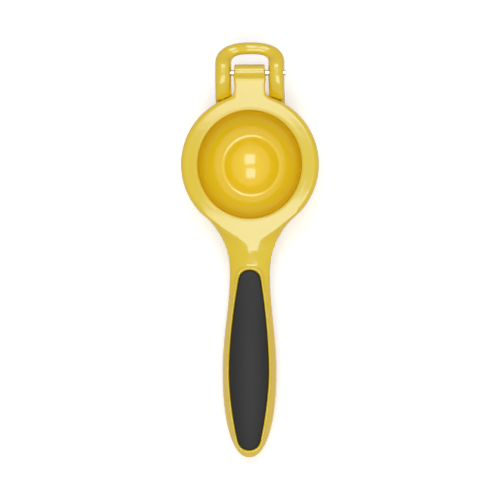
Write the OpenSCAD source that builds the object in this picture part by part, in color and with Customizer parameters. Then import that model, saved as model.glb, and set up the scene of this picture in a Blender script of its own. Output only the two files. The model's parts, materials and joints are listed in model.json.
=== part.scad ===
// Hinged lemon squeezer: a press half with a two-step bowl, a perforated cup half
// whose fork arms end in a hanging loop, a plain steel pin and two soft grips.
//
// Tool frame: the two halves meet at z = 0, the cup's axis is x = y = 0, the hinge
// lies towards +y and the handles towards -y. lie() then lays the closed tool on a
// table, on the edge of the cup's foot and on the lower grip.

/* [Press half] */
// Outer radius of the press ring
ring_r = 36.2; // [34.5:0.1:38]
// Thickness of the press ring at the bowl's mouth
ring_t = 5; // [4:0.1:6]
// Slope in degrees at which the press half's top falls away from the mouth
face_fall = 3.5; // [1.5:0.5:5]
// Width of the press ring, from its outside to the bowl's mouth
ring_w = 8.1; // [7.2:0.1:9]
// Depth of the half ellipse that the bowl follows
bowl_depth = 21; // [18:0.5:23]
// Radius of the lip where the deeper dimple starts
dimple_edge_r = 14.9; // [12:0.1:17]
// Sphere radius of the dimple
dimple_sphere_r = 22; // [19:0.5:30]
// Wall of the press bowl
press_wall = 2.4; // [1.8:0.1:2.8]

/* [Cup half] */
// How much the cup half's outline lies inside the press half's
lower_inset = 0.4; // [0.2:0.1:0.8]
// Thickness of the rim flange
rim_t = 4.5; // [3.6:0.1:5.5]
// Width of the cup's rim, from its outside to the cup's inside
rim_w = 3.8; // [3.4:0.1:4.6]
// Depth of the half ellipse that the cup follows
cup_depth = 33; // [31:0.5:37]
// Radius of the flat perforated floor inside
floor_r = 15.5; // [14.8:0.1:17]
// Wall of the cup
cup_wall = 2.7; // [2:0.1:3]
// Diameter of a juice hole
hole_d = 4.2; // [3:0.1:5]
// Distance from one ring of juice holes to the next
hole_pitch = 6.1; // [5.6:0.1:6.4]

/* [Hinge] */
// Distance from the cup's axis to the hinge pin
pivot_y = 47.9; // [46.5:0.1:50]
// Height of the hinge pin over the parting plane
pivot_z = 2.6; // [2:0.1:3.2]
// Diameter of the hinge pin
pin_d = 3; // [2.5:0.1:3.5]
// How far the pin's bare end stands out of the right arm
pin_proud = 0.8; // [0.2:0.1:1.5]
// Width of the tongue that carries the knuckle
tongue_w = 15.9; // [13:0.1:17]
// Radius of the knuckle round the pin
knuckle_r = 4.35; // [3.8:0.05:4.8]

/* [Fork and hanging loop] */
// Half-width of the fork over its arms
fork_half_w = 18.2; // [17.6:0.1:20]
// Width of one fork arm
arm_w = 8.5; // [7.5:0.1:8.7]
// Height of one fork arm at the pin
arm_h = 7.6; // [6.5:0.1:8.5]
// Height of one fork arm where it leaves the rim
root_h = 5.8; // [5:0.1:6.5]
// Distance from the pin to the outside of the loop's bar
loop_reach = 16.2; // [15:0.1:20]
// Width of the loop's bar
bar_w = 6.3; // [5:0.1:7]
// Height of the loop's bar
bar_h = 5.8; // [5:0.1:6.5]
// How far the loop sags below the pin beyond its bar
loop_sag = 4; // [2:0.1:5]
// How far the middle of the loop's bar stands over its corners
bar_rise = 1; // [0:0.1:2]

/* [Handles] */
// Distance from the cup's axis to the ends of the handles
handle_l = 152.6; // [140:0.5:165]
// Distance from the cup's axis to the neck, where a handle is narrowest
neck_y = 56; // [54:0.5:60]
// Half-width of a handle at its neck
neck_half_w = 10.5; // [9:0.1:12]
// Distance from the cup's axis to a handle's widest place
belly_y = 108; // [100:0.5:115]
// Half-width of a handle at its widest place
belly_half_w = 14.2; // [13:0.1:16]
// Height of a handle's crest over the parting plane at its widest place
belly_z = 12.5; // [10:0.1:14]
// Height of a handle's inner edge over the parting plane there
inner_edge_z = 3; // [1:0.1:4]
// Distance from the cup's axis to the point of the flat face on the neck
point_y = 47; // [45:0.5:50]
// Wall of a handle round the channel on its inner side
handle_wall = 2.6; // [2:0.1:3]

/* [Grips] */
// Distance from the cup's axis to the grip's rounded upper end
grip_top_y = 55.2; // [54:0.1:60]
// Distance from a handle's end to the grip's lower end
grip_end_border = 3.9; // [3:0.1:6]
// Half-width of a grip at its widest place
grip_half_w = 10.3; // [9:0.1:10.8]
// Depth of the recess that a grip lies in
recess_depth = 2; // [1.2:0.1:2.4]
// How far a grip's middle stands over the handle's surface
grip_crown = 0.35; // [0.1:0.05:0.8]

/* [Clearances] */
// Gap between the two halves at the parting plane
part_gap = 0.3; // [0.2:0.05:0.6]
// Radial running clearance of the knuckle on the pin
run_gap = 0.05; // [0.02:0.01:0.1]
// Radial clearance of the pin where the fork arms hold it
seat_gap = 0.01; // [0.005:0.005:0.02]
// Bond gap round a grip
bond_gap = 0.08; // [0.04:0.01:0.15]

/* [Hidden] */
$fn = 96;

yellow = "#E2C23B";
grip_black = "#3A3A3A";
steel = "#B9BCC0";

// Heights of the faces of the two halves, over and under the parting plane.
half_gap = part_gap / 2;
press_top = half_gap + ring_t;
rim_bottom = half_gap + rim_t;

// Radii of the bowl's mouth, the cup's rim flange and the cup's inside.
mouth_r = ring_r - ring_w;
rim_r = ring_r - lower_inset;
cup_r = rim_r - rim_w;

// How far a cutting body runs past the face that it opens.
cut_reach = 20;

// Bowl of the press half: a half ellipse down to the lip, then a sphere.
mouth_round = 0.9;
bowl_r = mouth_r - mouth_round;
lip_angle = acos(dimple_edge_r / bowl_r);
lip_z = press_top - bowl_depth * sin(lip_angle);
dimple_angle = asin(dimple_edge_r / dimple_sphere_r);
dimple_z = lip_z + dimple_sphere_r * cos(dimple_angle);

// Cup: the floor lies where the half ellipse has shrunk to the floor's radius.
floor_z = cup_depth * sqrt(1 - pow(floor_r / cup_r, 2));
foot_z = floor_z + cup_wall;
foot_r = (cup_r + cup_wall) * sqrt(1 - pow(foot_z / (cup_depth + cup_wall), 2));

// Fork arms and loop, by their centre line.
arm_x = fork_half_w - arm_w / 2;
bar_y = pivot_y + loop_reach - bar_w / 2;
bow_h = 8.6;
bow_y = bar_y - bow_h;
bow_power = 0.75;
crest_y = pivot_y + 2.3;
sag_run = 14;
root_y = 28;
root_z = -half_gap - 0.4 - root_h / 2;
root_run = 15.7;
root_power = 1.8;
blind_wall = 1.2;

// Handles.
tip_rise = 0.4;
side_h = 1.1;
first_d = 26;
channel_top_d = 72;
channel_border = 11;
channel_end_d = handle_l - channel_border;
point_curve = 0.0165;

// Grips.
grip_taper = 0.53;
grip_taper_power = 1.75;
grip_corner_power = 30;

step_angles = [0:15:180];

// How far a handle stays inside the ring's circle, and how far the tops of handle
// and tongue lie under the ring's, so that their faces cross cleanly.
tuck = 0.26;
seam = 0.02;

// Goes smoothly from 0 to 1, level at both ends.
function ease(t) = (1 - cos(180 * min(1, max(0, t)))) / 2;

// Falls from 1 at t = 0 to 0 at t = 1 along a superellipse.
function fade(t, p, q) = pow(max(0, 1 - pow(min(1, abs(t)), p)), q);

// Power that keeps the sign, for superellipse sections.
function signed_pow(v, p) = sign(v) * pow(abs(v), p);

// Half-width of a handle's outline at distance d from the cup's axis: the ring's
// circle, a concave arc that touches it and the neck, the belly and the round end.
function half_width(d, r, inset) =
    let(
        neck = neck_half_w - inset,
        belly = belly_half_w - inset,
        flare = (neck * neck + neck_y * neck_y - r * r) / (2 * (r - neck)),
        touch = neck_y * r / (r + flare),
        end = handle_l - inset
    )
    d < touch ? sqrt(r * r - d * d) - tuck :
    d < neck_y ? neck + flare - sqrt(flare * flare - pow(neck_y - d, 2)) :
    d < belly_y ? neck + (belly - neck) * ease((d - neck_y) / (belly_y - neck_y)) :
    belly * fade((d - belly_y) / (end - belly_y), 2.2, 0.45);

// Height of the press half's top face, which falls away from the bowl's mouth.
function face_z(x, d, top) = top - tan(face_fall) * max(0, norm([x, d]) - mouth_r);

// Height of a handle's inner edge over the parting plane.
function edge_height(d, end) =
    d < belly_y ? half_gap + (inner_edge_z - half_gap) * ease((d - point_y) / (belly_y - point_y)) :
    end_height() - (end_height() - inner_edge_z) * fade((d - belly_y) / (end - belly_y), 2.6, 0.5);

// Height of a handle's crest, which the top face cuts off short of point_y.
function crest_height(d, top, end) =
    let(point_z = face_z(0, point_y, top))
    d < point_y ? face_z(0, d, top) + point_curve * pow(point_y - d, 2) :
    d < belly_y ? point_z + (belly_z - point_z) * ease((d - point_y) / (belly_y - point_y)) :
    end_height() + (belly_z - end_height()) * fade((d - belly_y) / (end - belly_y), 2.2, 0.5);

// Height at which a handle's round end closes.
function end_height() = inner_edge_z + tip_rise * (belly_z - inner_edge_z);

// Cross-section of a handle: two inner corners and a crown between them.
// drop sinks the crown, and swell raises its middle.
function handle_ring(d, r, top, inset, drop, swell) =
    let(
        end = handle_l - inset,
        w = half_width(d, r, inset),
        low = edge_height(d, end),
        high = crest_height(d, top, end),
        band = min(side_h, (high - low) / 3),
        lid = d < point_y ? 0 : 2 * belly_z,
        base = low - 2 * drop
    )
    concat(
        [[w, -d, base]],
        [for (a = step_angles)
            let(
                cut = face_z(w * cos(a), d, top) - seam + lid,
                arch = low + band + (high + swell - low - band) * sin(a)
            )
            [w * cos(a), -d, min(cut, arch) - drop]],
        [[-w, -d, base]]);

// Distances of the cross-sections, closer together towards the round end.
function handle_steps(inset) =
    let(end = handle_l - inset)
    concat(
        [for (d = [first_d:3:neck_y]) d],
        [for (k = [1:9]) neck_y + (belly_y - neck_y) * k / 9],
        [for (t = [0.2, 0.38, 0.54, 0.68, 0.79, 0.87, 0.93, 0.97, 0.99, 0.998])
            belly_y + (end - belly_y) * t]);

function handle_rings(r, top, inset, drop, swell) =
    [for (d = handle_steps(inset)) handle_ring(d, r, top, inset, drop, swell)];

// Cross-section of the channel on a handle's inner side, open below.
function channel_ring(d, r, top, inset) =
    let(
        end = handle_l - inset,
        middle = (channel_top_d + channel_end_d) / 2,
        along = (d - middle) / (channel_end_d - middle),
        w = max(0.4, (half_width(d, r, inset) - handle_wall) * fade(along, 3, 0.5)),
        low = edge_height(d, end),
        deep = max(0.8, crest_height(d, top, end) - recess_depth - handle_wall - low)
    )
    [[w, -d, low - 2],
        [0.96 * w, -d, low + 0.55 * deep],
        [0.8 * w, -d, low + 0.88 * deep],
        [0.5 * w, -d, low + deep],
        [-0.5 * w, -d, low + deep],
        [-0.8 * w, -d, low + 0.88 * deep],
        [-0.96 * w, -d, low + 0.55 * deep],
        [-w, -d, low - 2]];

// Half-width of a grip's outline at distance d, smaller all round by inset: it
// tapers both ways to a blunt, rounded end.
function grip_half_width(d, inset) =
    let(
        top_d = grip_top_y + inset,
        end_d = handle_l - grip_end_border - inset,
        t = d < belly_y ? (belly_y - d) / (belly_y - top_d) : (d - belly_y) / (end_d - belly_y)
    )
    (grip_half_w - inset) * (1 - grip_taper * pow(min(1, t), grip_taper_power))
        * fade(t, grip_corner_power, 0.5);

// Plan outline of a grip.
function grip_outline(inset) =
    let(
        top_d = grip_top_y + inset,
        end_d = handle_l - grip_end_border - inset,
        upper = [for (a = [-90:5:0]) belly_y + (belly_y - top_d) * sin(a)],
        lower = [for (a = [5:5:90]) belly_y + (end_d - belly_y) * sin(a)],
        ds = concat(upper, lower),
        n = len(ds)
    )
    concat(
        [for (d = ds) [grip_half_width(d, inset), -d]],
        [for (i = [n - 2:-1:1]) [-grip_half_width(ds[i], inset), -ds[i]]]);

// Centre line of the fork and loop, from the right root over the bar to the left:
// each step holds x, y and the turn of the section about z.
function loop_steps() =
    let(
        arm = [for (t = [0:0.1:1]) [arm_x, root_y + (bow_y - root_y) * t, 0]],
        bow = [for (a = [10:10:90])
            let(c = max(0, cos(a)), s = sin(a))
            [arm_x * pow(c, bow_power), bow_y + bow_h * pow(s, bow_power),
                atan2(pow(s, 2 - bow_power) / bow_h, pow(c, 2 - bow_power) / arm_x)]],
        half = concat(arm, bow),
        n = len(half)
    )
    concat(half, [for (i = [n - 2:-1:0]) [-half[i][0], half[i][1], 180 - half[i][2]]]);

// How far the loop has come down at y: towards its root, and towards its bar.
function root_part(y) = ease(pow(max(0, crest_y - y) / root_run, root_power));
function bar_part(y, run) = ease((y - crest_y) / run);

// Height of the loop's centre line at x and y.
function loop_z(x, y) =
    pivot_z - (pivot_z - root_z) * root_part(y) - loop_sag * bar_part(y, sag_run)
    + (y > bow_y ? bar_rise * pow(cos(90 * min(1, abs(x) / arm_x)), 2) : 0);

// Half-height of the loop's section at y.
function loop_half_h(y) =
    arm_h / 2 + (root_h - arm_h) / 2 * root_part(y)
    + (bar_h - arm_h) / 2 * bar_part(y, bar_y - crest_y);

// Rounded section of the fork or loop at one step of its centre line.
function loop_ring(step) =
    let(
        a = arm_w / 2 + (bar_w - arm_w) / 2 * pow(sin(step[2]), 2),
        b = loop_half_h(step[1]),
        z = loop_z(step[0], step[1])
    )
    [for (u = [0:-22.5:-337.5])
        let(s = a * signed_pow(cos(u), 0.85))
        [step[0] + s * cos(step[2]), step[1] + s * sin(step[2]), z + b * signed_pow(sin(u), 0.85)]];

function loop_rings() = [for (step = loop_steps()) loop_ring(step)];

// Lie of the closed tool: the foot's edge and the lower grip touch the table.
lower_low = [for (d = handle_steps(lower_inset)) if (d > neck_y)
    [d, crest_height(d, rim_bottom, handle_l - lower_inset)
        + (grip_half_width(d, bond_gap) > 0 ? grip_crown : 0)]];
tilt = min([for (p = lower_low) atan((foot_z - p[1]) / (p[0] - foot_r))]);
lift = foot_r * sin(tilt) + foot_z * cos(tilt);

// Table-level y of a point of the tool frame, and the model's reach either way.
function lain_y(p) = p[1] * cos(tilt) - p[2] * sin(tilt);
far_y = max([for (ring = loop_rings(), p = ring) lain_y(p)]);
near_y = min([for (ring = handle_rings(ring_r, press_top, 0, 0, 0), p = ring) lain_y(p)]);
centre_y = (far_y + near_y) / 2;

// Places what is modelled in the tool frame on the table.
module lie() {
    translate([0, -centre_y, lift])
        rotate([tilt, 0, 0])
            children();
}

// Closed skin over cross-sections with the same number of corners each.
module skin(rings) {
    n = len(rings[0]);
    m = len(rings);
    sides = [for (j = [0:m - 2], i = [0:n - 1])
        let(a = j * n + i, b = j * n + (i + 1) % n)
        each [[a, a + n, b + n], [a, b + n, b]]];
    first = [for (i = [0:n - 1]) i];
    last = [for (i = [n - 1:-1:0]) (m - 1) * n + i];
    polyhedron([for (ring = rings) each ring], concat([first], sides, [last]));
}

// Turns a solid of the press side over, for the cup side.
module cup_side() {
    mirror([0, 0, 1])
        children();
}

// Upright prism over a grip's outline.
module grip_prism(inset) {
    linear_extrude(height = 4 * belly_z)
        polygon(grip_outline(inset));
}

// Room for a grip: the prism, down to the recess's floor.
module grip_recess(r, top, inset) {
    difference() {
        grip_prism(0);
        skin(handle_rings(r, top, inset, recess_depth, 0));
    }
}

// Soft grip that fills its recess but for the bond gap, with a crowned face.
module grip_body(r, top, inset) {
    difference() {
        intersection() {
            grip_prism(bond_gap);
            skin(handle_rings(r, top, inset, 0, grip_crown));
        }
        skin(handle_rings(r, top, inset, recess_depth - bond_gap, 0));
    }
}

// Handle blank: crowned outside, with its channel inside and the grip's recess.
module handle_blank(r, top, inset) {
    skin(handle_rings(r, top, inset, 0, 0));
}

module handle_channel(r, top, inset) {
    steps = [for (k = [0:14]) channel_top_d + (channel_end_d - channel_top_d) * k / 14];
    skin([for (d = steps) channel_ring(d, r, top, inset)]);
}

// Round bar along x at the hinge.
module hinge_cylinder(r, from_x, to_x) {
    translate([from_x, pivot_y, pivot_z])
        rotate([0, 90, 0])
            cylinder(r = r, h = to_x - from_x, $fn = 64);
}

// Section of the press ring: its top falls away to a rounded outer flank.
module press_ring() {
    flank = 3.4;
    foot = half_gap + 1.2;
    shoulder = face_z(0, ring_r - flank, press_top);
    rotate_extrude()
        polygon(concat(
            [[mouth_r - 6, half_gap], [ring_r - 0.5, half_gap], [ring_r, half_gap + 0.5]],
            [for (a = [0:15:90])
                [ring_r - flank + flank * cos(a), foot + (shoulder - foot) * sin(a)]],
            [[mouth_r, press_top], [mouth_r - 6, press_top]]));
}

// Half section of a bowl that is grown outwards by grow: the ellipse and the sphere.
module bowl_section(grow) {
    a = bowl_r + grow;
    b = bowl_depth + grow;
    polygon(concat(
        [[0, press_top]],
        [for (u = [0:7.5:lip_angle - 1]) [a * cos(u), press_top - b * sin(u)]],
        [[a * cos(lip_angle), press_top - b * sin(lip_angle)],
            [0, press_top - b * sin(lip_angle)]]));
    polygon(concat(
        [[0, lip_z]],
        [for (k = [8:-1:0])
            let(u = dimple_angle * k / 8)
            [(dimple_sphere_r + grow) * sin(u), dimple_z - (dimple_sphere_r + grow) * cos(u)]]));
}

// Press nose, below the ring's top.
module press_nose() {
    rotate_extrude()
        intersection() {
            bowl_section(press_wall);
            translate([0, press_top - 3 * bowl_depth])
                square([ring_r, 3 * bowl_depth]);
        }
}

// Hollow of the bowl, with the rounded edge of its mouth.
module bowl_hollow() {
    rotate_extrude() {
        bowl_section(0);
        polygon(concat(
            [[0, press_top + cut_reach], [mouth_r, press_top + cut_reach]],
            [for (a = [0:22.5:90])
                [mouth_r - mouth_round * sin(a), press_top - mouth_round * (1 - cos(a))]],
            [[0, press_top - mouth_round]]));
    }
}

// Tongue from the ring to the knuckle, under the top face, with concave fillets.
module tongue_body() {
    fillet = 3.2;
    half = tongue_w / 2;
    meet_y = sqrt(pow(ring_r + fillet, 2) - pow(half + fillet, 2));
    corner = [for (a = [180:15:240]) [half + fillet + fillet * cos(a), meet_y + fillet * sin(a)]];
    n = len(corner);
    reach = pivot_y + tongue_w;
    tongue_top = press_top - seam;
    intersection() {
        linear_extrude(height = press_top)
            polygon(concat(
                [[half, pivot_y]],
                corner,
                [[half + 1, mouth_r + 2], [-half - 1, mouth_r + 2]],
                [for (i = [n - 1:-1:0]) [-corner[i][0], corner[i][1]]],
                [[-half, pivot_y]]));
        rotate_extrude()
            polygon([[0, half_gap], [reach, half_gap], [reach, face_z(0, reach, tongue_top)],
                [mouth_r, tongue_top], [0, tongue_top]]);
    }
    hinge_cylinder(knuckle_r, -half, half);
}

// Half section of the cup grown outwards by grow, down to z = -depth.
module cup_section(grow, depth) {
    a = cup_r + grow;
    b = cup_depth + grow;
    last = asin(depth / b);
    polygon(concat(
        [[0, 0], [a, 0]],
        [for (k = [1:12]) let(u = last * k / 12) [a * cos(u), -b * sin(u)]],
        [[0, -depth]]));
}

// Rim flange of the cup.
module rim_section() {
    polygon([
        [cup_r - 1, 0], [rim_r - 0.6, 0], [rim_r, -half_gap - 0.6],
        [rim_r, -rim_bottom + 1.6], [rim_r - 0.5, -rim_bottom + 0.6],
        [rim_r - 1.7, -rim_bottom], [cup_r - 1, -rim_bottom]]);
}

// Juice holes: one in the middle and rings of six and twelve.
module juice_holes() {
    for (ring = [0:2]) {
        count = max(1, 6 * ring);
        for (i = [0:count - 1])
            rotate([0, 0, 360 / count * i])
                translate([ring * hole_pitch, 0, -foot_z - 1])
                    cylinder(d = hole_d, h = cup_wall + 2, $fn = 32);
    }
}

module press_half() {
    color(yellow)
        lie()
            difference() {
                union() {
                    press_ring();
                    press_nose();
                    handle_blank(ring_r, press_top, 0);
                    tongue_body();
                }
                bowl_hollow();
                handle_channel(ring_r, press_top, 0);
                grip_recess(ring_r, press_top, 0);
                hinge_cylinder(pin_d / 2 + run_gap, -tongue_w, tongue_w);
            }
}

module cup_half() {
    color(yellow)
        lie()
            difference() {
                union() {
                    rotate_extrude() {
                        cup_section(cup_wall, foot_z);
                        rim_section();
                    }
                    cup_side()
                        handle_blank(rim_r, rim_bottom, lower_inset);
                    skin(loop_rings());
                }
                rotate_extrude()
                    cup_section(0, floor_z);
                translate([0, 0, -half_gap])
                    cylinder(r = rim_r + 0.1, h = cut_reach);
                juice_holes();
                cup_side()
                    handle_channel(rim_r, rim_bottom, lower_inset);
                cup_side()
                    grip_recess(rim_r, rim_bottom, lower_inset);
                hinge_cylinder(pin_d / 2 + seat_gap, blind_wall - fork_half_w, fork_half_w + cut_reach);
            }
}

module hinge_pin() {
    color(steel)
        lie()
            hinge_cylinder(pin_d / 2, blind_wall + part_gap - fork_half_w, fork_half_w + pin_proud);
}

module press_grip() {
    color(grip_black)
        lie()
            grip_body(ring_r, press_top, 0);
}

module cup_grip() {
    color(grip_black)
        lie()
            cup_side()
                grip_body(rim_r, rim_bottom, lower_inset);
}

press_half();
cup_half();
hinge_pin();
press_grip();
cup_grip();
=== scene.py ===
import json
import math

import bmesh
import bpy
import numpy as np
from mathutils import Matrix, Vector


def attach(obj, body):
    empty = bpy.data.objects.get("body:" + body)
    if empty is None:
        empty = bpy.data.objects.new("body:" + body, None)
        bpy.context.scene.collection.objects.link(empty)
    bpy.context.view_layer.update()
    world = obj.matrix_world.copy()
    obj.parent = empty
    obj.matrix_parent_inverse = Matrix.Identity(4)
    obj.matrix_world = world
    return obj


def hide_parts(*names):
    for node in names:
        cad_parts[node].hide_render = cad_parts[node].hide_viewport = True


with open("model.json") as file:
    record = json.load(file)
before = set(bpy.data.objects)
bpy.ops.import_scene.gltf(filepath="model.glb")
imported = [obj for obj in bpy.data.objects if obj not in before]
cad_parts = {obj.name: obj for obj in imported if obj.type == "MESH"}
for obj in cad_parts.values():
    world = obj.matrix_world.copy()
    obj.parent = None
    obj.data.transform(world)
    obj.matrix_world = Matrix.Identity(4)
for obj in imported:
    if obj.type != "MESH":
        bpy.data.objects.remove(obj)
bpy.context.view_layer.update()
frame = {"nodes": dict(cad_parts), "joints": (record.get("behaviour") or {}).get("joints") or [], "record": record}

MM = 0.001

# ---------------------------------------------------------------- tool frame
# The castings are shaped in the tool's own frame, in millimetres: the halves meet
# at z = 0, the cup's axis is x = y = 0 and the hinge lies towards +y. The frame's
# foot mount and hinge joint say how that frame lies on the table.
PIVOT_Y, PIVOT_Z = 47.9, 2.6

foot = next(m for m in frame["record"]["mounts"] if m["name"] == "cup_foot")
hinge = frame["joints"][0]
TOOL_X = np.array([1.0, 0.0, 0.0])
TOOL_Z = -np.array(foot["axis"], dtype=float)
TOOL_Z /= np.linalg.norm(TOOL_Z)
TOOL_Y = np.cross(TOOL_Z, TOOL_X)
AXES = np.array([TOOL_X, TOOL_Y, TOOL_Z])
HINGE = np.array(hinge["pos_m"], dtype=float)
ORIGIN = HINGE - MM * (PIVOT_Y * TOOL_Y + PIVOT_Z * TOOL_Z)


def to_tool(points):
    return (points - ORIGIN) @ AXES.T / MM


def to_table(points):
    return points * MM @ AXES + ORIGIN


def place(x, y, z):
    """Point of the tool frame, in mm, as a point of the table frame, in metres."""
    return Vector(to_table(np.array([x, y, z], dtype=float)))


# ---------------------------------------------------------------- sizes, in mm
# A name in _ROUND, _ROOT or _BLEND is how far the round reaches where two forms meet.
HALF_GAP, FAR = 0.15, 50

# Press half: the ring and its top face, the bowl, the dimple and the lip between them.
RING_R, MOUTH_R, PRESS_TOP = 36.2, 28.1, 5.15
FACE_FALL, FALL_SHIFT = math.tan(math.radians(3.35)), math.tan(math.radians(0.95))
FALL_TURN = 8
BOWL_R, BOWL_DEPTH = 27.2, 21.0
NOSE_R, NOSE_Z = 22.0, 3.767
DIMPLE_R, DIMPLE_Z = 20.0, 1.67
LIP_R, LIP_Z, LIP_TILT = 14.5, -12.1, 0.12
RING_LONG, BOWL_LONG, LIP_LONG, DIMPLE_LONG = 1.015, 1.035, 1.065, 1.04
PRESS_WALL, NOSE_BELOW_TOP = 2.4, 1.0
PLATE_ROUND, MOUTH_ROUND, LIP_BLEND, DIMPLE_ROUND = 0.6, 1.3, 0.2, 0.5
NOSE_BLEND, NOSE_ROOT = 2.0, 1.2

# Its tongue, which ends in the knuckle round the pin.
TONGUE_HALF_W, TONGUE_ROOT, KNUCKLE_R = 7.95, 3.7, 4.35
FLANK_ROUND, FLANK_MORE, FLANK_Y, FLANK_RUN = 0.9, 1.9, 38.5, 6
ROLL_Y, ROLL_Z, ROLL_R, ROLL_BLEND = 0.8, 0.55, 3.55, 0.3
KNUCKLE_ROUND, KNUCKLE_ROOT = 0.8, 1.8
PIN_R, PIN_PROUD, PIN_END_GAP, PIN_BEVEL = 1.5, 0.8, 0.3, 0.35
TURNING_GAP, SEATED_GAP, BORE_ROUND = 0.05, 0.02, 0.3

# Cup half: rim, shell, floor and holes.
RIM_R, RIM_BOTTOM, RIM_ROUND, RIM_EDGE_ROUND = 35.8, 4.65, 2.2, 0.7
CUP_R, CUP_DEPTH, CUP_WALL = 32.0, 33.0, 2.7
FLOOR_Z, FOOT_Z, FLOOR_CLEAR = 28.87, 31.57, 3
FOOT_ROUND, SHELL_ROOT, HOLLOW_ROUND, HOLLOW_EDGE_ROUND = 1.6, 1.2, 3.0, 0.8
HOLE_R, HOLE_PITCH, HOLE_ROUND = 2.1, 6.1, 0.5
LEVER_ROOT, LOOP_ROOT, UNDER_RING_GAP = 1.5, 2.4, 0.25

# Its fork arms and the arch that joins them.
ARM_X, ARM_W, ARM_H, ROOT_H = 13.95, 8.5, 7.6, 5.8
BAR_Y, BAR_W, BAR_H, LOOP_SAG = 60.9, 6.3, 5.8, 6.6
BOW_Y, BOW_H, BOW_POWER, BAR_RISE = 52.35, 8.6, 2.667, 1.7
CREST_Y, SAG_RUN = 50.3, 18.0
FORK_HALF_W, BLIND_WALL, TUBE_POWER = 18.2, 1.2, 2.35
ROOT_Y, ROOT_DROP, ROOT_SIZE, ARM_FLAT_R = 28.0, 6.5, 26.0, 49.55

# Handles: outline, crown, the pointed end of the level face, and the inner channel.
HANDLE_L, HANDLE_FROM_Y = 152.58, -24
NECK_Y, BELLY_Y, POINT_Y = 56.0, 108.0, 45.2
NECK_W, BELLY_W = 10.5, 14.2
BELLY_Z, INNER_Z, TIP_RISE, SIDE_H = 12.5, 3.0, 0.4, 1.1
END_Z = INNER_Z + TIP_RISE * (BELLY_Z - INNER_Z)
PLAN_END, EDGE_END, CREST_END = (2.2, 0.45), (2.6, 0.5), (2.2, 0.5)
POINT_CURVE, CEILING_RISE = 0.021, 0.4
ROOF_Y, ROOF_RUN, ROOF_SHARP = 44.0, 9.0, 0.75
CHANNEL_TOP, CHANNEL_END, HANDLE_WALL, CHANNEL_FADE = 72.0, 141.6, 2.6, (3, 0.5)
CHANNEL_LEAST_W, CHANNEL_LEAST_H = 0.05, 0.8
LOWER_INSET = 0.4
LEVEL_ROUND, INNER_ROUND = 0.7, 0.8
CHANNEL_ROUND, CHANNEL_END_ROUND, CHANNEL_EDGE_ROUND = 2.0, 1.0, 0.6

# Grips, their recesses and the bead round them.
GRIP_TOP, GRIP_END_BORDER, GRIP_W = 55.2, 3.9, 10.3
GRIP_TAPER, GRIP_TAPER_POWER, GRIP_CORNER = 0.53, 1.75, 5.0
RECESS, GRIP_CROWN, BOND_GAP = 2.0, 0.35, 0.08
RECESS_ROUND, RECESS_EDGE_ROUND = 0.5, 0.9
GRIP_ROUND, GRIP_UNDER_ROUND = 0.9, 0.3
BEAD_H, BEAD_OFFSET, BEAD_RUN = 0.65, 0.95, 0.8


# ---------------------------------------------------------------- form tools
def smooth_max(a, b, k):
    """Larger of two distances, with a round of about k where they meet."""
    h = np.maximum(k - np.abs(a - b), 0.0) / k
    return np.maximum(a, b) + h * h * k / 4


def smooth_min(a, b, k):
    """Smaller of two distances, with a fillet of about k where they meet."""
    return -smooth_max(-a, -b, k)


def ease(t):
    """Runs smoothly from nothing at t = 0 to one at t = 1."""
    return (1 - np.cos(math.pi * np.clip(t, 0, 1))) / 2


def fade(t, p, q):
    """Falls from one at t = 0 to almost nothing at t = 1, the rounder the larger p is."""
    return np.power(np.maximum(1 - np.power(np.clip(np.abs(t), 0, 1), p), 0.0004), q)


def ellipsoid(x, y, z, a, b):
    """Distance to a spheroid of radius a in plan and b in height."""
    k0 = np.sqrt((x * x + y * y) / a**2 + z * z / b**2) + 1e-9
    k1 = np.sqrt((x * x + y * y) / a**4 + z * z / b**4) + 1e-9
    return k0 * (k0 - 1) / k1


def half_width(d, r, inset):
    """Half-width of a handle's outline at distance d from the cup's axis."""
    neck, belly, end = NECK_W - inset, BELLY_W - inset, HANDLE_L - inset
    flare = (neck**2 + NECK_Y**2 - r * r) / (2 * (r - neck))
    touch = NECK_Y * r / (r + flare)
    ring = np.sqrt(np.maximum(r * r - d * d, 1.0)) - 0.1
    arc = neck + flare - np.sqrt(np.maximum(flare**2 - (NECK_Y - d) ** 2, 0))
    swell = neck + (belly - neck) * ease((d - NECK_Y) / (BELLY_Y - NECK_Y))
    close = belly * fade((d - BELLY_Y) / (end - BELLY_Y), *PLAN_END)
    lower = np.where(d < BELLY_Y, swell, close)
    return np.where(d < touch, ring, np.where(d < NECK_Y, arc, lower))


def edge_height(d, end):
    """Height of a handle's inner edge at distance d from the cup's axis."""
    rise = HALF_GAP + (INNER_Z - HALF_GAP) * ease((d - POINT_Y) / (BELLY_Y - POINT_Y))
    close = END_Z - (END_Z - INNER_Z) * fade((d - BELLY_Y) / (end - BELLY_Y), *EDGE_END)
    return np.where(d < BELLY_Y, rise, close)


def face_z(x, y, top):
    """Height of the top face, which falls away from the bowl's mouth."""
    fall = FACE_FALL - FALL_SHIFT * np.tanh(np.asarray(y) / FALL_TURN)
    return top - fall * np.maximum(np.hypot(x, y) - MOUTH_R, 0)


def crest_height(d, top, end):
    """Height of a handle's outer face along its middle."""
    start = face_z(0.0, -POINT_Y, top)
    point = face_z(0.0, -d, top) + POINT_CURVE * (POINT_Y - d) ** 2
    rise = start + (BELLY_Z - start) * ease((d - POINT_Y) / (BELLY_Y - POINT_Y))
    close = END_Z + (BELLY_Z - END_Z) * fade((d - BELLY_Y) / (end - BELLY_Y), *CREST_END)
    return np.where(d < POINT_Y, point, np.where(d < BELLY_Y, rise, close))


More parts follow.
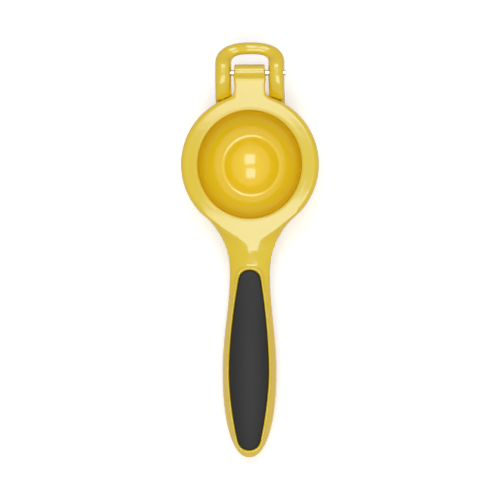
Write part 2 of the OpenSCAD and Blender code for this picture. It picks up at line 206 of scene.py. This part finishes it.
def crown(x, d, z, r, top, inset, swell=0.0):
    """Distance to a handle's crowned outer face."""
    end = HANDLE_L - inset
    w = half_width(d, r, inset)
    low = edge_height(d, end)
    high = crest_height(d, top, end)
    roof = np.exp(-(((d - ROOF_Y) / ROOF_RUN) ** 2))
    band = np.minimum(SIDE_H, (high - low) / 3) * (1 - 0.5 * roof)
    h = high + swell - low - band
    n = 2 - ROOF_SHARP * roof
    u, v = np.abs(x) / w + 1e-6, np.maximum(z - low - band, 0.0) / h + 1e-6
    e = (u**n + v**n) ** (1 / n)
    g = np.hypot(u ** (n - 1) / w, v ** (n - 1) / h) / e ** (n - 1)
    return (e - 1) / g


def grip_distance(x, d, inset):
    """Distance in plan to a grip's outline, which tapers to blunt, rounded ends."""
    top_d, end_d, w = GRIP_TOP + inset, HANDLE_L - GRIP_END_BORDER - inset, GRIP_W - inset
    length = np.where(d < BELLY_Y, BELLY_Y - top_d, end_d - BELLY_Y)
    t = np.abs(d - BELLY_Y) / length + 1e-6
    taper = 1 - GRIP_TAPER * t**GRIP_TAPER_POWER
    falling = GRIP_TAPER * GRIP_TAPER_POWER * t ** (GRIP_TAPER_POWER - 1) * w / length
    side = (np.abs(x) - w * taper) / np.sqrt(1 + falling**2)
    return smooth_max(side, (t - 1) * length, GRIP_CORNER)


def handle(x, y, z, r, top, inset):
    """Distance to a handle with its grip recess, the bead round it and the inner channel."""
    d = -y
    end = HANDLE_L - inset
    face = crown(x, d, z, r, top, inset)
    border = grip_distance(x, d, 0)
    face = face - BEAD_H * np.exp(-(((border - BEAD_OFFSET) / BEAD_RUN) ** 2))
    level = face_z(x, y, top) + CEILING_RISE * np.maximum(d - POINT_Y, 0)
    body = smooth_max(face, z - level, LEVEL_ROUND)
    low = edge_height(d, end)
    body = smooth_max(body, low - z, INNER_ROUND)
    floor = crown(x, d, z + RECESS, r, top, inset)
    recess = smooth_max(border, -floor, RECESS_ROUND)
    body = smooth_max(body, -recess, RECESS_EDGE_ROUND)
    middle, reach = (CHANNEL_TOP + CHANNEL_END) / 2, (CHANNEL_END - CHANNEL_TOP) / 2
    half = (half_width(d, r, inset) - HANDLE_WALL) * fade((d - middle) / reach, *CHANNEL_FADE)
    half = np.maximum(half, CHANNEL_LEAST_W)
    deep = np.maximum(crest_height(d, top, end) - RECESS - HANDLE_WALL - low, CHANNEL_LEAST_H)
    channel = smooth_max(np.abs(x) - half, z - low - deep, CHANNEL_ROUND)
    channel = smooth_max(channel, np.abs(d - middle) - reach, CHANNEL_END_ROUND)
    return smooth_max(body, -channel, CHANNEL_EDGE_ROUND)


def from_neck(y):
    """Keeps a handle's form away from the ring's far side."""
    return np.where(y > HANDLE_FROM_Y, FAR, 0)


def ring_radius(x, y):
    """Radius in plan over the press ring, which is a little longer towards the hinge."""
    return np.hypot(x, np.where(y > 0, y / RING_LONG, y))


def press_form(x, y, z):
    """Distance to the press half: ring, tongue, knuckle, handle, nose and bowl."""
    r = ring_radius(x, y)
    across = np.abs(x)
    tongue = np.maximum(across - TONGUE_HALF_W, np.maximum(-y, y - PIVOT_Y))
    outline = smooth_min(r - RING_R, tongue, TONGUE_ROOT)
    flank = FLANK_ROUND + FLANK_MORE * ease((FLANK_Y - y) / FLANK_RUN)
    plate = smooth_max(outline, z - face_z(x, y, PRESS_TOP), flank)
    plate = smooth_max(plate, HALF_GAP - z, PLATE_ROUND)
    lever = handle(x, y, z, RING_R, PRESS_TOP, 0.0) + from_neck(y)
    form = np.minimum(plate, lever)
    roll = np.hypot(y - PIVOT_Y - ROLL_Y, z - PIVOT_Z - ROLL_Z) - ROLL_R
    knuckle = np.maximum(np.hypot(y - PIVOT_Y, z - PIVOT_Z) - KNUCKLE_R, z - PIVOT_Z - ROLL_Z)
    knuckle = smooth_min(knuckle, roll, ROLL_BLEND)
    knuckle = smooth_max(knuckle, across - TONGUE_HALF_W, KNUCKLE_ROUND)
    form = smooth_min(form, knuckle, KNUCKLE_ROOT)
    nose = smooth_min(
        ellipsoid(x, y, z - PRESS_TOP, BOWL_R + PRESS_WALL, BOWL_DEPTH + PRESS_WALL),
        np.sqrt(r * r + (z - NOSE_Z) ** 2) - NOSE_R - PRESS_WALL, NOSE_BLEND)
    nose = np.maximum(nose, z - PRESS_TOP + NOSE_BELOW_TOP)
    form = smooth_min(form, nose, NOSE_ROOT)
    bowl = ellipsoid(x, y / BOWL_LONG, z - PRESS_TOP, BOWL_R, BOWL_DEPTH)
    form = smooth_max(form, -bowl, MOUTH_ROUND)
    ledge = z - LIP_Z - LIP_TILT * (np.hypot(x, y / LIP_LONG) - LIP_R)
    form = smooth_min(form, np.maximum(ledge, nose), LIP_BLEND)
    dimple = np.sqrt(x * x + (y / DIMPLE_LONG) ** 2 + (z - DIMPLE_Z) ** 2) - DIMPLE_R
    form = smooth_max(form, -dimple, DIMPLE_ROUND)
    bore = np.hypot(y - PIVOT_Y, z - PIVOT_Z) - PIN_R - TURNING_GAP
    return smooth_max(form, -bore, BORE_ROUND)


def loop_form(x, y, z):
    """Distance to the fork arms and the arch that joins them into a loop."""
    n = BOW_POWER
    u, v = np.abs(x) / ARM_X + 1e-6, np.maximum(y - BOW_Y, 0) / BOW_H
    e = (u**n + v**n) ** (1 / n)
    gx, gy = (u / e) ** (n - 1) / ARM_X, (v / e) ** (n - 1) / BOW_H
    g = np.hypot(gx, gy)
    side = (e - 1) / g
    turn = (gy / g) ** 2
    px, py = np.abs(x) - side * gx / g, y - side * gy / g
    drop = np.maximum(ARM_FLAT_R - np.hypot(x, y), 0) ** 2 / ROOT_SIZE
    drop = np.minimum(drop, 1.1 * ROOT_DROP)
    root = np.minimum(drop / ROOT_DROP, 1)
    sag = ease((py - CREST_Y) / SAG_RUN)
    thin = ease((py - CREST_Y) / (BAR_Y - CREST_Y))
    rise = BAR_RISE * np.cos(math.pi / 2 * np.clip(px / ARM_X, 0, 1)) ** 3
    rise = np.where(py > BOW_Y, rise, 0)
    half_w = ARM_W / 2 + (BAR_W - ARM_W) / 2 * turn
    half_h = ARM_H / 2 + (ROOT_H - ARM_H) / 2 * root + (BAR_H - ARM_H) / 2 * thin
    mid = PIVOT_Z - drop + (ARM_H - ROOT_H) / 2 * root - LOOP_SAG * sag + rise
    u, v = np.abs(side) / half_w, np.abs(z - mid) / half_h
    n = TUBE_POWER
    e = (u**n + v**n + 1e-9) ** (1 / n)
    g = np.hypot(u ** (n - 1) / half_w, v ** (n - 1) / half_h) / e ** (n - 1) + 1e-9
    return np.maximum((e - 1) / g, ROOT_Y - y)


def juice_holes(x, y):
    """Distance outwards from the nearest juice hole's wall."""
    near = np.hypot(x, y)
    for ring in (1, 2):
        for i in range(6 * ring):
            a = 2 * math.pi * i / (6 * ring)
            hx, hy = ring * HOLE_PITCH * math.cos(a), ring * HOLE_PITCH * math.sin(a)
            near = np.minimum(near, np.hypot(x - hx, y - hy))
    return near - HOLE_R


def cup_form(x, y, z):
    """Distance to the cup half: rim, shell, handle, fork arms and perforated floor."""
    r = np.hypot(x, y)
    rim = smooth_max(r - RIM_R, -RIM_BOTTOM - z, RIM_ROUND)
    rim = smooth_max(rim, z + HALF_GAP, RIM_EDGE_ROUND)
    shell = ellipsoid(x, y, z, CUP_R + CUP_WALL, CUP_DEPTH + CUP_WALL)
    shell = smooth_max(np.maximum(shell, z + HALF_GAP), -FOOT_Z - z, FOOT_ROUND)
    form = smooth_min(rim, shell, SHELL_ROOT)
    lever = handle(x, y, -z, RIM_R, RIM_BOTTOM, LOWER_INSET) + from_neck(y)
    form = smooth_min(form, lever, LEVER_ROOT)
    form = smooth_min(form, loop_form(x, y, z), LOOP_ROOT)
    hollow = smooth_max(ellipsoid(x, y, z, CUP_R, CUP_DEPTH), -FLOOR_Z - z, HOLLOW_ROUND)
    form = smooth_max(form, -hollow, HOLLOW_EDGE_ROUND)
    holes = np.where(z < FLOOR_CLEAR - FLOOR_Z, -juice_holes(x, y), -FAR)
    form = smooth_max(form, holes, HOLE_ROUND)
    under_ring = np.maximum(ring_radius(x, y) - RING_R - UNDER_RING_GAP, -HALF_GAP - z)
    form = np.maximum(form, -under_ring)
    bore = np.hypot(y - PIVOT_Y, z - PIVOT_Z) - PIN_R - SEATED_GAP
    bore = np.maximum(bore, BLIND_WALL - FORK_HALF_W - x)
    return smooth_max(form, -bore, BORE_ROUND)


def grip_form(x, y, z, r, top, inset):
    """Distance to a grip that fills a handle's recess."""
    d = -y
    face = crown(x, d, z, r, top, inset, GRIP_CROWN)
    side = grip_distance(x, d, BOND_GAP)
    form = smooth_max(face, side, GRIP_ROUND)
    floor = crown(x, d, z + RECESS - BOND_GAP, r, top, inset)
    return smooth_max(form, -floor, GRIP_UNDER_ROUND)


def press_grip_form(x, y, z):
    return grip_form(x, y, z, RING_R, PRESS_TOP, 0.0)


def cup_grip_form(x, y, z):
    return grip_form(x, y, -z, RIM_R, RIM_BOTTOM, LOWER_INSET)


def slope(form, p, step=0.02):
    """Gradient of a form at points p, in the tool frame."""
    g = np.empty_like(p)
    for axis in range(3):
        shift = np.zeros(3)
        shift[axis] = step
        g[:, axis] = (form(*(p + shift).T) - form(*(p - shift).T)) / (2 * step)
    return g


LEAST_SLOPE, LONGEST_MOVE = 0.05, 0.4


def settle(p, form, passes=7, reach=1.2):
    """Moves points onto the surface where form is zero, none further than reach."""
    start = p.copy()
    for _ in range(passes):
        g = slope(form, p)
        size = np.maximum((g * g).sum(1), LEAST_SLOPE)
        move = -g * (form(*p.T) / size)[:, None]
        length = np.linalg.norm(move, axis=1, keepdims=True)
        p = p + move * np.minimum(1, LONGEST_MOVE / np.maximum(length, 1e-9))
    away = p - start
    length = np.linalg.norm(away, axis=1, keepdims=True)
    return start + away * np.minimum(1, reach / np.maximum(length, 1e-9))


def even_out(p, edges, form, rounds=3):
    """Spreads points evenly over a form, each towards the middle of its neighbours."""
    a, b = edges.T
    count = np.bincount(edges.ravel(), minlength=len(p))[:, None]
    for _ in range(rounds):
        total = np.zeros_like(p)
        np.add.at(total, a, p[b])
        np.add.at(total, b, p[a])
        p = settle((p + total / count) / 2, form, passes=3)
    return p


def shaped_piece(name, node, body, form, voxel):
    """Even mesh in the place of a CAD node, drawn onto a smooth form."""
    rough = bmesh.new()
    rough.from_mesh(frame["nodes"][node].data)
    bmesh.ops.remove_doubles(rough, verts=rough.verts, dist=2e-6)
    mesh = bpy.data.meshes.new(name + "_rough")
    rough.to_mesh(mesh)
    rough.free()
    blank = bpy.data.objects.new(name + "_rough", mesh)
    bpy.context.scene.collection.objects.link(blank)
    remesh = blank.modifiers.new("even", "REMESH")
    remesh.mode = "VOXEL"
    remesh.voxel_size = voxel * MM
    seen = blank.evaluated_get(bpy.context.evaluated_depsgraph_get())
    done = bpy.data.meshes.new_from_object(seen)
    bpy.data.objects.remove(blank)
    p = np.empty(len(done.vertices) * 3)
    done.vertices.foreach_get("co", p)
    edges = np.empty(len(done.edges) * 2, dtype=np.int32)
    done.edges.foreach_get("vertices", edges)
    p = even_out(settle(to_tool(p.reshape(-1, 3)), form), edges.reshape(-1, 2), form)
    done.vertices.foreach_set("co", to_table(p).ravel())
    done.name = name
    normals = slope(form, p)
    normals /= np.maximum(np.linalg.norm(normals, axis=1, keepdims=True), 1e-9)
    done.polygons.foreach_set("use_smooth", [True] * len(done.polygons))
    done.normals_split_custom_set_from_vertices((normals @ AXES).tolist())
    piece = bpy.data.objects.new(name, done)
    bpy.context.scene.collection.objects.link(piece)
    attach(piece, body)
    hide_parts(node)
    return piece


# ---------------------------------------------------------------- colours, finishes
def srgb(code):
    """Linear colour of an sRGB hex code."""
    parts = [int(code[i:i + 2], 16) / 255 for i in (1, 3, 5)]
    linear = [c / 12.92 if c <= 0.04045 else ((c + 0.055) / 1.055) ** 2.4 for c in parts]
    return (*linear, 1.0)


def add(tree, kind, sockets=None, **settings):
    """Adds a node, with its settings and the constants or links of its sockets."""
    node = tree.nodes.new("ShaderNode" + kind)
    for key, value in settings.items():
        setattr(node, key, value)
    for key, value in (sockets or {}).items():
        if isinstance(value, bpy.types.NodeSocket):
            tree.links.new(value, node.inputs[key])
        else:
            node.inputs[key].default_value = value
    return node


def finish(name):
    """New material, with its surface shader, its tree and its object coordinates."""
    material = bpy.data.materials.new(name)
    material.use_nodes = True
    tree = material.node_tree
    tree.nodes.clear()
    shader = add(tree, "BsdfPrincipled")
    out = add(tree, "OutputMaterial")
    tree.links.new(shader.outputs[0], out.inputs["Surface"])
    where = add(tree, "TexCoord").outputs["Object"]
    return material, shader, tree, where


def enamel():
    # Enamel on cast aluminium: a deep yellow with fine mica, which throws back cool
    # light, under a clear, glossy skin that flowed a little before it set.
    material, shader, tree, where = finish("yellow enamel on cast aluminium")
    shader.inputs["Base Color"].default_value = srgb("#F2EF20")
    shader.inputs["Roughness"].default_value = 0.22
    shader.inputs["IOR"].default_value = 1.65
    shader.inputs["Specular Tint"].default_value = srgb("#50B4FF")
    shader.inputs["Coat Weight"].default_value = 1.0
    shader.inputs["Coat Roughness"].default_value = 0.09
    shader.inputs["Coat IOR"].default_value = 1.42
    shader.inputs["Coat Tint"].default_value = srgb("#FDDDBE")
    flow = add(tree, "TexNoise", {"Vector": where, "Scale": 260.0, "Detail": 2.0})
    bump = add(tree, "Bump", {"Height": flow.outputs[0], "Strength": 0.06, "Distance": 0.0004})
    tree.links.new(bump.outputs[0], shader.inputs["Normal"])
    tree.links.new(bump.outputs[0], shader.inputs["Coat Normal"])
    return material


def elastomer():
    # Moulded elastomer: near-black and matte, with a fine spark-eroded grain.
    material, shader, tree, where = finish("black moulded elastomer")
    shader.inputs["Base Color"].default_value = srgb("#050505")
    shader.inputs["Roughness"].default_value = 0.62
    shader.inputs["IOR"].default_value = 1.42
    grain = add(tree, "TexNoise", {"Vector": where, "Scale": 2200.0, "Detail": 2.0})
    bump = add(tree, "Bump", {"Height": grain.outputs[0], "Strength": 0.15, "Distance": 0.0001})
    tree.links.new(bump.outputs[0], shader.inputs["Normal"])
    return material


def drawn_steel():
    # Drawn steel: bright, with fine scratches round the pin.
    material, shader, tree, where = finish("plain drawn steel")
    shader.inputs["Base Color"].default_value = srgb("#C9CBCE")
    shader.inputs["Metallic"].default_value = 1.0
    shader.inputs["Roughness"].default_value = 0.28
    stretch = add(tree, "Mapping", {"Vector": where, "Scale": (9000.0, 400.0, 400.0)})
    lines = add(tree, "TexNoise", {"Vector": stretch.outputs[0], "Scale": 1.0, "Detail": 2.0})
    bump = add(tree, "Bump", {"Height": lines.outputs[0], "Strength": 0.1, "Distance": 0.0001})
    tree.links.new(bump.outputs[0], shader.inputs["Normal"])
    return material


YELLOW, BLACK, STEEL = enamel(), elastomer(), drawn_steel()


# ---------------------------------------------------------------- pieces
def dress(piece, material):
    """Gives a piece its material."""
    piece.data.materials.clear()
    piece.data.materials.append(material)


def pin_piece():
    """Steel pin with bevelled ends, along x at the hinge."""
    left, right = BLIND_WALL + PIN_END_GAP - FORK_HALF_W, FORK_HALF_W + PIN_PROUD
    work = bmesh.new()
    bmesh.ops.create_cone(work, cap_ends=True, segments=64, radius1=PIN_R * MM,
                          radius2=PIN_R * MM, depth=(right - left) * MM)
    rims = [e for e in work.edges if len(e.link_faces) == 2
            and abs(e.link_faces[0].normal.z - e.link_faces[1].normal.z) > 0.5]
    bmesh.ops.bevel(work, geom=rims, offset=PIN_BEVEL * MM, segments=3,
                    affect="EDGES", profile=0.5, material=-1)
    turn = Matrix.Rotation(math.pi / 2, 4, "Y")
    spot = Matrix.Translation(place((left + right) / 2, PIVOT_Y, PIVOT_Z))
    bmesh.ops.transform(work, matrix=spot @ turn, verts=work.verts)
    mesh = bpy.data.meshes.new("steel_pin")
    work.to_mesh(mesh)
    work.free()
    for face in mesh.polygons:
        face.use_smooth = len(face.vertices) == 4
    piece = bpy.data.objects.new("steel_pin", mesh)
    bpy.context.scene.collection.objects.link(piece)
    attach(piece, "cup_lever")
    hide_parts("hinge_pin")
    return piece


# Mesh size in mm before the points settle; the grips have a finer one.
VOXEL = 0.58
for name, node, body, form, fineness, material, slot in (
    ("press_casting", "press_half", "press_lever", press_form, 1.0, YELLOW, "yellow_enamel"),
    ("cup_casting", "cup_half", "cup_lever", cup_form, 1.07, YELLOW, "yellow_enamel"),
    ("upper_inlay", "press_grip", "press_lever", press_grip_form, 0.7, BLACK, "soft_grip"),
    ("lower_inlay", "cup_grip", "cup_lever", cup_grip_form, 0.7, BLACK, "soft_grip"),
):
    dress(shaped_piece(name, node, body, form, VOXEL * fineness), material)
dress(pin_piece(), STEEL)

# ---------------------------------------------------------------- stage
# The camera stands VIEW_RANGE above the ring's face and VIEW_SIDE to its right, and
# sees VIEW_W of it, in mm.
VIEW_X, VIEW_Y, VIEW_RANGE, VIEW_SIDE, VIEW_W = 0.3, -44.7, 1000.0, 66.0, 260.0
SENSOR_W = 36.0
# Lamps stand LAMP_RANGE away, in metres. ROOM_LIGHT is what the white background
# gives as light, and FLOOR_GLOW is what the table adds to where it is seen.
LAMP_RANGE, ROOM_LIGHT, FLOOR_GLOW = 1.2, 0.15, 0.4


def aim(thing, at):
    """Turns a lamp or camera to look at a point, with the tool's y upwards."""
    back = (thing.location - at).normalized()
    right = Vector(TOOL_Y).cross(back).normalized()
    up = back.cross(right)
    thing.rotation_euler = Matrix((right, up, back)).transposed().to_euler()


camera = bpy.data.objects.new("camera", bpy.data.cameras.new("camera"))
bpy.context.scene.collection.objects.link(camera)
bpy.context.scene.camera = camera
bpy.context.scene.view_settings.view_transform = "Standard"
camera.location = place(VIEW_X + VIEW_SIDE, VIEW_Y, PRESS_TOP + VIEW_RANGE)
aim(camera, place(VIEW_X, VIEW_Y, PRESS_TOP))
camera.data.sensor_width = SENSOR_W
camera.data.lens = SENSOR_W * VIEW_RANGE / VIEW_W
camera.data.clip_end = 20.0


def softbox(name, lean, size, radiance):
    """Rectangular lamp; its lean from the tool's z and its size are angles in degrees."""
    light = bpy.data.lights.new(name, "AREA")
    light.shape = "RECTANGLE"
    light.size, light.size_y = (2 * LAMP_RANGE * math.tan(math.radians(a / 2)) for a in size)
    light.energy = radiance * math.pi * light.size * light.size_y
    thing = bpy.data.objects.new(name, light)
    bpy.context.scene.collection.objects.link(thing)
    along, up = (math.tan(math.radians(a)) for a in lean)
    toward = Vector((along, up, 1)).normalized()
    thing.location = place(*(toward * LAMP_RANGE / MM))
    aim(thing, place(0, 0, 0))
    thing.visible_camera = False


softbox("hinge_side_box", (1, 22.5), (27, 29), 5.0)
softbox("handle_side_box", (4, -17.5), (32, 28), 5.0)


def shown_by(tree):
    """One for rays that show the background: the camera's, glossy and transmission rays."""
    ray = add(tree, "LightPath").outputs
    near = add(tree, "Math", {0: ray["Is Camera Ray"], 1: ray["Is Glossy Ray"]}, operation="MAXIMUM")
    through = {0: near.outputs[0], 1: ray["Is Transmission Ray"]}
    return add(tree, "Math", through, operation="MAXIMUM").outputs[0]


world = bpy.data.worlds.new("studio")
bpy.context.scene.world = world
world.use_nodes = True
studio = world.node_tree
studio.nodes.clear()
room = add(studio, "Background", {"Color": (1, 1, 1, 1), "Strength": ROOM_LIGHT})
white = add(studio, "Background", {"Color": (1, 1, 1, 1), "Strength": 1.0})
either = add(studio, "MixShader", {0: shown_by(studio), 1: room.outputs[0], 2: white.outputs[0]})
add(studio, "OutputWorld", {"Surface": either.outputs[0]})

ground = bmesh.new()
bmesh.ops.create_grid(ground, x_segments=1, y_segments=1, size=4.0)
sheet = bpy.data.meshes.new("floor")
ground.to_mesh(sheet)
ground.free()
floor = bpy.data.objects.new("floor", sheet)
bpy.context.scene.collection.objects.link(floor)
paper, shader, tree, _ = finish("matte white light table")
shader.inputs["Base Color"].default_value = srgb("#F4F4F4")
shader.inputs["Roughness"].default_value = 0.9
shader.inputs["Emission Color"].default_value = srgb("#FFFFFF")
lift = add(tree, "Math", {0: shown_by(tree), 1: FLOOR_GLOW}, operation="MULTIPLY")
tree.links.new(lift.outputs[0], shader.inputs["Emission Strength"])
sheet.materials.append(paper)
